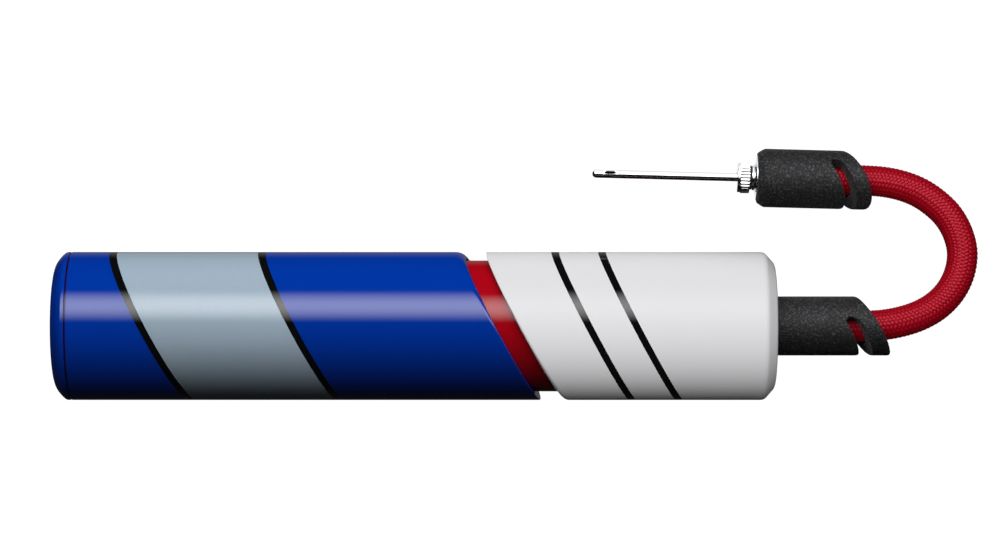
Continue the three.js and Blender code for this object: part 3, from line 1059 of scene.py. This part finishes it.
def addSoftbox(name, towards, distance, size, energy, glossy=True, diffuse=True):
    # towards: degrees from straight up, leaning to +Y
    data = bpy.data.lights.new(name, "AREA")
    data.shape = "RECTANGLE"
    data.size, data.size_y = size
    data.energy = energy
    light = bpy.data.objects.new(name, data)
    lean = math.radians(towards)
    light.location = (0.02, distance * math.sin(lean), distance * math.cos(lean) + axisHeight * mm)
    light.rotation_euler = (-lean, 0, 0)
    light.visible_camera = False
    light.visible_glossy = glossy
    light.visible_diffuse = diffuse
    scene.collection.objects.link(light)
    return light


def softEdges(light):
    # the box is brightest along its middle and fades to nothing at its long sides
    light.data.use_nodes = True
    tree = light.data.node_tree
    place = addNode(tree, "ShaderNodeNewGeometry")
    parts = addNode(tree, "ShaderNodeSeparateXYZ", {0: place.outputs["Parametric"]})
    off = addNode(tree, "ShaderNodeMath", {0: parts.outputs["Y"], 1: 0.5}, operation="SUBTRACT")
    twice = {0: off.outputs[0], 1: off.outputs[0]}
    squared = addNode(tree, "ShaderNodeMath", twice, operation="MULTIPLY")
    inputs = {"Value": squared.outputs[0], "From Max": 0.25, "To Min": 1.0, "To Max": 0.0}
    inside = addNode(tree, "ShaderNodeMapRange", inputs)
    strength = addNode(tree, "ShaderNodeMath", {0: inside.outputs[0], 1: 2.0}, operation="POWER")
    tree.links.new(strength.outputs[0], tree.nodes["Emission"].inputs["Strength"])


def lightOnly(light, pieces, leaveOut=False):
    chosen = bpy.data.collections.new(light.name + " pieces")
    for piece in pieces:
        chosen.objects.link(piece)
    light.light_linking.receiver_collection = chosen
    if leaveOut:
        for item in chosen.collection_objects:
            item.light_linking.link_state = "EXCLUDE"


room = dict(base=0.012, glow=0.17, glowFrom=0.87, towardsGlow=(0, 0.34, -0.94))


def addRoom():
    # dark all round but for a glow from low down on the needle's side
    world = bpy.data.worlds.new("room")
    scene.world = world
    world.use_nodes = True
    tree = world.node_tree
    place = addNode(tree, "ShaderNodeTexCoord")
    ways = {0: place.outputs["Generated"], 1: room["towardsGlow"]}
    low = addNode(tree, "ShaderNodeVectorMath", ways, operation="DOT_PRODUCT")
    inputs = {
        "Value": low.outputs["Value"],
        "From Min": room["glowFrom"],
        "From Max": 1.0,
        "To Min": room["base"],
        "To Max": room["glow"],
    }
    bright = addNode(tree, "ShaderNodeMapRange", inputs, interpolation_type="SMOOTHSTEP")
    tree.links.new(bright.outputs[0], tree.nodes["Background"].inputs["Strength"])
    tree.nodes["Background"].inputs["Color"].default_value = (1, 1, 1, 1)


addFloor()
addRoom()
# the long box whose reflection runs along the body, and the soft light that gives the colours
strip = addSoftbox("strip", 32, 0.8, (1.6, 0.81), 22.8, diffuse=False)
softEdges(strip)
key = addSoftbox("key", 43, 0.7, (1.0, 0.7), 6.9, glossy=False)
lightOnly(key, [gripPiece], leaveOut=True)
# white plastic lets light through and looks flatter: it has a key of its own and more from below
lightOnly(addSoftbox("grip key", 15, 0.7, (1.0, 0.5), 6.2, glossy=False), [gripPiece])
lightOnly(addSoftbox("grip bounce", 120, 0.7, (1.0, 0.5), 4.0, glossy=False), [gripPiece])
# low lights for the far boot and the hose, and two cards for the chrome to reflect
lightOnly(addSoftbox("far boot rim", -95, 0.7, (1.0, 0.5), 2.0, glossy=False), [farBoot])
lightOnly(addSoftbox("hose fill", -30, 0.7, (1.0, 0.5), 1.6, glossy=False), [braidedHose])
gripPiece.visible_glossy = False  # a black card stands between the grip and the needle
platedPieces = [piece for piece in needleEnd if piece.data.materials[0] == chrome]
lightOnly(addSoftbox("needle card", 46, 0.7, (1.4, 1.67), 9.5, diffuse=False), platedPieces)
lightOnly(addSoftbox("needle floor card", 143, 0.6, (1.2, 1.2), 4.2, diffuse=False), platedPieces)
print("floor and light set")
